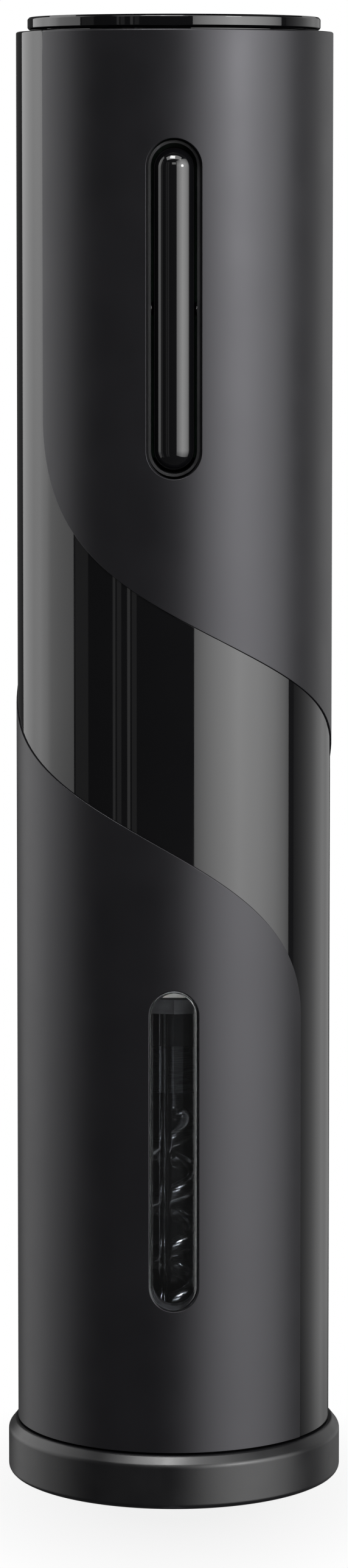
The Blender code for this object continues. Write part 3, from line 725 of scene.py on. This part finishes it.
def rocker():
    """Half-round gloss button whose ends are quarter spheres, on a short wall."""
    half = BUTTON_WIDTH / 2
    front, back = -BUTTON_LOW.y, -BUTTON_BACK
    base = pill_loop(BUTTON_WIDTH, BUTTON_HEIGHT, (0, SWITCH_Z))
    straight = (BUTTON_HEIGHT - BUTTON_WIDTH) / 2
    spine = [Vector((0, min(max(p.y, SWITCH_Z - straight), SWITCH_Z + straight)))
             for p in base]
    steps = 18
    rows = []
    for k in range(-1, steps + 1):
        turn = math.pi / 2 * max(k, 0) / steps
        row = []
        for p, s in zip(base, spine):
            away = (p - s).normalized()
            normal = (away.x * math.cos(turn), away.y * math.cos(turn), math.sin(turn))
            level = back if k < 0 else front - half * (1 - math.sin(turn))
            row.append((s + away * half * math.cos(turn), level, normal))
        rows.append(row)
    skin, form = Skin(), Front()
    for lower, upper in zip(rows, rows[1:]):
        for i in range(len(base)):
            j = (i + 1) % len(base)
            quad = (upper[i], lower[i], lower[j], upper[j])
            skin.face([form.point(*p, level) for p, level, n in quad],
                      [form.normal(0, *n) for p, level, n in quad])
    fill(skin, form, [base], back, -1, (2.0, 4.0))
    collars(skin)
    settle(skin.piece("rocker_cap"), "gloss_black", "rocker_button")


def window():
    """Curved clear pane that fills the window."""
    outer = radii("window_lens")[1]
    skin = Skin()
    plate(skin, Roll(), [window_loop(2 * LENS_GAP - 0.1)], outer, SKIN_IN_R, 0.35,
          (0.8, 3.0), 6)
    settle(skin.piece("window_pane"), "clear", "window_lens")


# --- foil cutter and bottle end ----------------------------------------------------------
def foil_cutter():
    """Base ring with a chamfered lip, and slots in its bore for the wheels."""
    outer = radii("foil_cutter_ring")[1]
    top = high("foil_cutter_ring").z
    lip = 8.1
    corners = [(20.1, top, 0.3), (20.1, lip, 0.1), (24.6, lip, 0.6), (outer, 6.7, 1.1),
               (outer, 0, 0.9), (15.6, 0, 0.6), (15.6, lip, 0.3), (18.0, lip + 0.6, 0.3),
               (18.0, top, 0.3)]
    body = turned("cutter_body", corners, 160)
    for i in range(WHEELS):
        node = f"cutter_wheel_{i + 1}"
        at = (low(node) + high(node)) / 2
        reach = high(node).x - at.x + 0.6
        outline = [(reach, at.z + 1.0), (reach, at.z - 1.0), (0, at.z - 1.0),
                   (0, at.z + 1.0)]
        room = turned(f"wheel_room_{i + 1}", outline, 48, True, (at.x, at.y, 0))
        step = body.modifiers.new("Room", "BOOLEAN")
        step.object = room
        bpy.context.view_layer.update()
        with bpy.context.temp_override(object=body, active_object=body):
            bpy.ops.object.modifier_apply(modifier=step.name)
        bpy.data.objects.remove(room)
    body.modifiers.new("Even", "WEIGHTED_NORMAL").keep_sharp = True
    settle(body, "satin_black", "foil_cutter_ring")


def cutter_discs():
    """Ground cutting wheels with a thin edge."""
    for i in range(WHEELS):
        node = f"cutter_wheel_{i + 1}"
        at = (low(node) + high(node)) / 2
        radius = high(node).x - at.x
        axle = (high(node).z - low(node).z) / 2
        corners = [(0, axle), (0.8, axle, 0.2), (0.8, 0.45, 0.05), (2.2, 0.45, 0.1),
                   (2.5, 0.3, 0.2), (radius - 1.0, 0.3, 0.3), (radius, 0.02),
                   (radius, -0.02), (radius - 1.0, -0.3, 0.3), (2.5, -0.3, 0.2),
                   (2.2, -0.45, 0.1), (0.8, -0.45, 0.05), (0.8, -axle, 0.2), (0, -axle)]
        settle(turned(f"cutter_disc_{i + 1}", corners, 64, False, at), "steel", node)


def bottle_end():
    """Funnel that centres the bottle's neck, and the soft seat for its lip."""
    seat_top = high("neck_seat").z
    cork_r, seat_r = radii("neck_seat")
    guide_in, guide_out = radii("neck_guide")
    bottom, top = low("neck_guide").z, high("neck_guide").z
    corners = [(17.6, top, 0.2), (17.6, 17.0, 0.5), (guide_out, 15.5, 0.3),
               (guide_out, bottom, 0.2), (16.5, bottom, 0.4), (15.6, 15.0, 0.5),
               (15.6, seat_top + 0.3), (guide_in, seat_top + 0.3, 0.1), (guide_in, top, 0.2)]
    settle(turned("neck_funnel", corners, 128), "inner_black", "neck_guide")
    corners = [(seat_r, seat_top, 0.15), (seat_r, seat_top - 1.2, 0.3),
               (cork_r + 1.6, seat_top - 1.2, 0.2), (cork_r + 1.4, seat_top - 0.9, 0.2),
               (cork_r + 1.1, seat_top - 0.9, 0.2), (cork_r + 0.9, seat_top - 1.2, 0.2),
               (cork_r, seat_top - 1.2, 0.4), (cork_r, seat_top, 0.15)]
    settle(turned("seat_pad", corners, 128), "rubber", "neck_seat")


def cork_sleeve():
    """Clear tube with fine ribs inside that keep the cork from turning."""
    inner, outer = radii("cork_tube")
    bottom, top = low("cork_tube").z, high("cork_tube").z
    outline = [Vector((outer * math.cos(a), outer * math.sin(a)))
               for a in (2 * math.pi * i / 144 for i in range(144))]
    hole = []
    ribs, first_rib = 12, 264
    for i in range(ribs):
        for part, radius in ((-15, inner), (-10, inner), (-5, inner), (-1.6, inner),
                             (-1.1, inner - 0.45), (1.1, inner - 0.45), (1.6, inner),
                             (5, inner), (10, inner)):
            turn = math.radians(first_rib + 360 / ribs * i + part)
            hole.append(Vector((radius * math.cos(turn), radius * math.sin(turn))))
    skin = Skin()
    plate(skin, Table(), [outline, hole], top, bottom, 0.2, (3.0, 3.0))
    settle(skin.piece("cork_sleeve"), "clear", "cork_tube")


# --- worm ------------------------------------------------------------------------------
def worm():
    """Polished coil with a ground tip; the shank goes up into its chuck."""
    coil_r, wire_r, pitch = 3.3, 1.5, 8.5
    tip_z, top = low("worm").z + 0.5, high("worm").z
    coil_top = low("output_carrier").z - 2.3
    swell = 6.0             # height over which the shank winds out to the coil
    per_turn, sides = 36, 20
    count = round((coil_top - tip_z) / pitch * per_turn)
    line = [Vector((0, 0, z)) for z in (top, top - 3, coil_top + 6, coil_top + 2.5,
                                        coil_top + 1.2)]
    for i in range(count + 1):
        z = coil_top - pitch * i / per_turn
        radius = coil_r * min(1.0, (coil_top - z) / swell)
        turn = 2 * math.pi * (z - tip_z) / pitch
        line.append(Vector((radius * math.cos(turn), radius * math.sin(turn), z)))
    side = Vector((1, 0, 0))
    rings = []
    for i, point in enumerate(line):
        along = (line[min(i + 1, len(line) - 1)] - line[max(i - 1, 0)]).normalized()
        side = (side - along * side.dot(along)).normalized()
        other = along.cross(side)
        thick = wire_r * min(1.0, 0.04 + (1 - i / (len(line) - 1)) * 9)
        ring = []
        for k in range(sides):
            turn = 2 * math.pi * k / sides
            way = side * math.cos(turn) + other * math.sin(turn)
            ring.append((point + way * thick, way))
        rings.append(ring)
    skin = Skin()
    for upper, lower in zip(rings, rings[1:]):
        for k in range(sides):
            m = (k + 1) % sides
            quad = (upper[k], lower[k], lower[m], upper[m])[::-1]
            skin.face([tuple(p) for p, n in quad], [tuple(n) for p, n in quad])
    for ring, way in ((rings[0], Vector((0, 0, 1))), (rings[-1], Vector((0, 0, -1)))):
        ends = [tuple(p) for p, n in ring]
        skin.face(ends if way.z > 0 else ends[::-1], [tuple(way)] * sides)
    settle(skin.piece("worm_coil"), "steel", "worm")


# --- cells --------------------------------------------------------------------------------
def cells():
    """Each cell as a shrink sleeve, open at its foot, and a steel terminal."""
    for i in range(CELLS):
        node = f"battery_cell_{i + 1}"
        at = (low(node) + high(node)) / 2
        bottom, top = low(node).z, high(node).z
        radius = (high(node).x - low(node).x) / 2
        shoulder = top - 1.2
        corners = [(0, shoulder - 0.2), (radius - 1.6, shoulder - 0.2, 0.1),
                   (radius - 1.4, shoulder, 0.1), (radius, shoulder, 0.5),
                   (radius, bottom, 0.4), (radius - 1.2, bottom, 0.1),
                   (radius - 1.2, bottom + 0.2, 0.1), (0, bottom + 0.2)]
        settle(turned(f"cell_sleeve_{i + 1}", corners, 64, False, (at.x, at.y, 0)),
               "cell", node)
        nub = turned(f"cell_terminal_{i + 1}",
                     [(0, top), (2.6, top, 0.35), (2.6, shoulder, 0.2), (4.4, shoulder, 0.1),
                      (4.4, shoulder - 0.2), (0, shoulder - 0.2)], 48, False,
                     (at.x, at.y, 0))
        nub.data.materials.append(LOOKS["steel"])
        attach(nub, BODY_OF[node])


def holder():
    """Moulded block with a bore for each cell and a flat front."""
    bottom, top = low("battery_holder").z, high("battery_holder").z
    front = low("battery_holder").y
    radius = radii("battery_holder")[1]
    corner = math.degrees(math.asin(front / radius))
    arc_steps = 120
    turns = [math.radians(corner + (180 - 2 * corner) * i / arc_steps)
             for i in range(arc_steps + 1)]
    loop = [Vector((radius * math.cos(a), radius * math.sin(a))) for a in turns]
    loop += split_run(loop[-1], loop[0], 2.0)[1:]
    loops = [loop]
    for i in range(CELLS):
        node = f"battery_cell_{i + 1}"
        at = (low(node) + high(node)) / 2
        bore = (high(node).x - low(node).x) / 2 + 0.35
        loops.append([Vector((at.x + bore * math.cos(a), at.y + bore * math.sin(a)))
                      for a in (2 * math.pi * k / 64 for k in range(64))])
    skin = Skin()
    plate(skin, Table(), loops, top, bottom, 0.4, (2.5, 2.5))
    settle(skin.piece("holder_block"), "inner_black", "battery_holder")


# --- floor, light, camera ---------------------------------------------------------------
# From here on lengths are in metres.
AIM = Vector((0, 0, 0.11))  # the soft boxes face this point
BOX_DISTANCE = 1.3
FLOOR_RADIUS = 0.12


def floor():
    """Clear sheet on the ground that carries a painted soft shade round the foot."""
    bpy.ops.mesh.primitive_circle_add(vertices=96, radius=FLOOR_RADIUS, fill_type="NGON",
                                      location=(0, 0, -0.0002))
    sheet = bpy.context.object
    sheet.name = "floor"
    # near-black colour: the sheet is there only as painted shade
    look = Look("floor", (0.02, 0.02, 0.02), 0.6)
    look.set("Specular IOR Level", 0.0)
    # painted shadow: opacity 0.14 near the foot, its middle 12 mm to the front and narrower
    # sideways, clear by 62 mm
    away = look.add("ShaderNodeVectorMath", operation="LENGTH")
    look.link(look.stretched((1.5, 1, 1), (0, 0.012, 0)), away.inputs[0])
    look.link(look.between(away.outputs["Value"], 0.14, 0.0, 0.018, 0.062),
              look.shader.inputs["Alpha"])
    look.rough(look.noise(40.0), 0.55, 0.65)
    sheet.data.materials.append(look.material)
    sheet.visible_glossy = False
    sheet.visible_shadow = False


def ramp(tree, source, stops):
    """Brightness that follows a few (position, level) stops."""
    node = tree.nodes.new("ShaderNodeValToRGB")
    steps = node.color_ramp.elements
    while len(steps) < len(stops):
        steps.new(0.5)
    for step, (position, level) in zip(steps, sorted(stops)):
        step.position = position
        step.color = (level, level, level, 1)
    tree.links.new(source, node.inputs["Fac"])
    return node.outputs["Color"]


def soft_box(name, levels, heights=((-0.85, 1.0), (0.85, 1.0)), lift=0.0):
    """Soft box facing the object, brighter and darker along its width and height.

    levels gives the radiance at azimuths counted from the front, positive towards
    +X; heights gives a factor at distances up from AIM, in metres.  The box spans
    both lists.  lift raises it to that elevation.
    """
    first, last = levels[0][0], levels[-1][0]
    middle, half = (first + last) / 2, math.radians(last - first) / 2
    foot, head = heights[0][0], heights[-1][0]
    width, height = 2 * BOX_DISTANCE * math.tan(half), head - foot
    top = max(level for _, level in levels)
    data = bpy.data.lights.new(name, "AREA")
    data.shape = "RECTANGLE"
    data.size, data.size_y = width, height
    data.energy = top * math.pi * width * height
    data.use_nodes = True
    tree = data.node_tree
    place = tree.nodes.new("ShaderNodeNewGeometry").outputs["Parametric"]
    split = tree.nodes.new("ShaderNodeSeparateXYZ")
    tree.links.new(place, split.inputs[0])
    headroom = 2.0          # a ramp holds levels up to 1 and the factors go beyond
    across = [(0.5 + math.tan(math.radians(azimuth - middle)) / math.tan(half) / 2,
               level / top) for azimuth, level in levels]
    upward = [((above - foot) / height, factor / headroom) for above, factor in heights]
    product = tree.nodes.new("ShaderNodeMath")
    product.operation = "MULTIPLY"
    tree.links.new(ramp(tree, split.outputs["X"], across), product.inputs[0])
    tree.links.new(ramp(tree, split.outputs["Y"], upward), product.inputs[1])
    restored = tree.nodes.new("ShaderNodeMath")
    restored.operation = "MULTIPLY"
    restored.inputs[1].default_value = headroom
    tree.links.new(product.outputs[0], restored.inputs[0])
    tree.links.new(restored.outputs[0], tree.nodes["Emission"].inputs["Strength"])
    lamp = bpy.data.objects.new(name, data)
    bpy.context.scene.collection.objects.link(lamp)
    turn, rise = math.radians(middle), math.radians(lift)
    way = Vector((math.sin(turn) * math.cos(rise), -math.cos(turn) * math.cos(rise),
                  math.sin(rise)))
    facing = (-way).to_track_quat("-Z", "Y")
    lamp.location = AIM + way * BOX_DISTANCE + facing @ Vector((0, (foot + head) / 2, 0))
    lamp.rotation_euler = facing.to_euler()
    lamp.visible_camera = False
    return lamp


# How the large boxes fade with height.
KEY_FALL = ((-0.85, 0.5), (-0.51, 0.68), (-0.30, 0.85), (-0.15, 1.0), (0.0, 1.12),
            (0.12, 1.24), (0.45, 1.36), (1.3, 0.6))
SIDE_FALL = ((-0.85, 0.4), (-0.51, 0.45), (-0.26, 0.6), (-0.14, 0.9), (-0.05, 0.93),
             (0.15, 1.15), (0.45, 1.27), (1.6, 1.0))
BACK_FALL = ((-0.85, 0.2), (-0.51, 0.3), (-0.40, 0.9), (-0.2, 1.0), (0.85, 1.0))


def lights():
    """Large boxes right, behind and left, thin strips, and small lamps above."""
    soft_box("key", [(14.5, 2.0), (30, 3.75), (48, 5.2), (64, 4.4), (78, 3.2),
                     (92.5, 1.3)], KEY_FALL)
    soft_box("back_right", [(98, 0.08), (107, 0.24), (120, 0.5), (130, 0.75),
                            (140, 0.78), (149, 0.5), (165, 0.35)], BACK_FALL)
    soft_box("left", [(-146, 1.2), (-124, 1.6), (-115, 2.1), (-106, 2.0), (-101, 1.6),
                      (-78, 1.45)], SIDE_FALL)
    soft_box("left_ledge", [(-76.5, 0.15), (-65, 0.15)])
    soft_box("strip_1", [(-45, 0.35), (-43, 0.35)])
    soft_box("strip_2", [(-41.8, 0.2), (-38.5, 0.2)])
    soft_box("strip_3", [(-34.0, 0.5), (-31.8, 0.5)])
    soft_box("strip_4", [(-30.5, 0.18), (-27, 0.18)])
    even = ((-0.25, 1.0), (0.25, 1.0))
    small = ((-0.12, 1.0), (0.12, 1.0))
    tall = ((-0.18, 1.0), (0.18, 1.0))
    wide = ((-1.0, 1.0), (1.0, 1.0))
    soft_box("overhead", [(-34, 3.8), (34, 3.8)], even, lift=62)
    soft_box("lamp_1", [(-30, 17.0), (-18, 17.0)], tall, lift=62)
    soft_box("lamp_2", [(-8, 17.0), (4, 17.0)], tall, lift=62)
    soft_box("key_core", [(41, 22.0), (54, 22.0)], small, lift=14)
    soft_box("fill", [(-10, 3.0), (10, 3.0)], small, lift=27)
    ground = soft_box("ground", [(-40, 4.0), (40, 4.0)], wide, lift=-85)
    ground.visible_glossy = False
    backdrop()


def backdrop():
    """Dim grey surroundings that the camera sees as white."""
    world = bpy.data.worlds.new("studio")
    bpy.context.scene.world = world
    world.use_nodes = True
    tree = world.node_tree
    out = tree.nodes["World Output"]
    dim = tree.nodes["Background"]
    dim.inputs["Color"].default_value = (0.06, 0.06, 0.06, 1)
    pale = tree.nodes.new("ShaderNodeBackground")
    pale.inputs["Color"].default_value = (1, 1, 1, 1)
    seen = tree.nodes.new("ShaderNodeLightPath")
    choose = tree.nodes.new("ShaderNodeMixShader")
    tree.links.new(seen.outputs["Is Camera Ray"], choose.inputs[0])
    tree.links.new(dim.outputs[0], choose.inputs[1])
    tree.links.new(pale.outputs[0], choose.inputs[2])
    tree.links.new(choose.outputs[0], out.inputs["Surface"])


def camera():
    data = bpy.data.cameras.new("camera")
    data.sensor_width = 36.0
    data.sensor_fit = "AUTO"
    data.lens = 113.5
    data.shift_y = -0.1254
    data.clip_start = 0.01
    obj = bpy.data.objects.new("camera", data)
    bpy.context.scene.collection.objects.link(obj)
    obj.location = (0, -0.7565, 0.2036)
    obj.rotation_euler = (math.radians(90 - 4.99), 0, 0)
    bpy.context.scene.camera = obj
    bpy.context.scene.view_settings.view_transform = "Standard"


camera()
lights()
floor()
finish_nodes()
casing()
cap()
bezel()
rocker()
window()
foil_cutter()
cutter_discs()
bottle_end()
cork_sleeve()
worm()
cells()
holder()
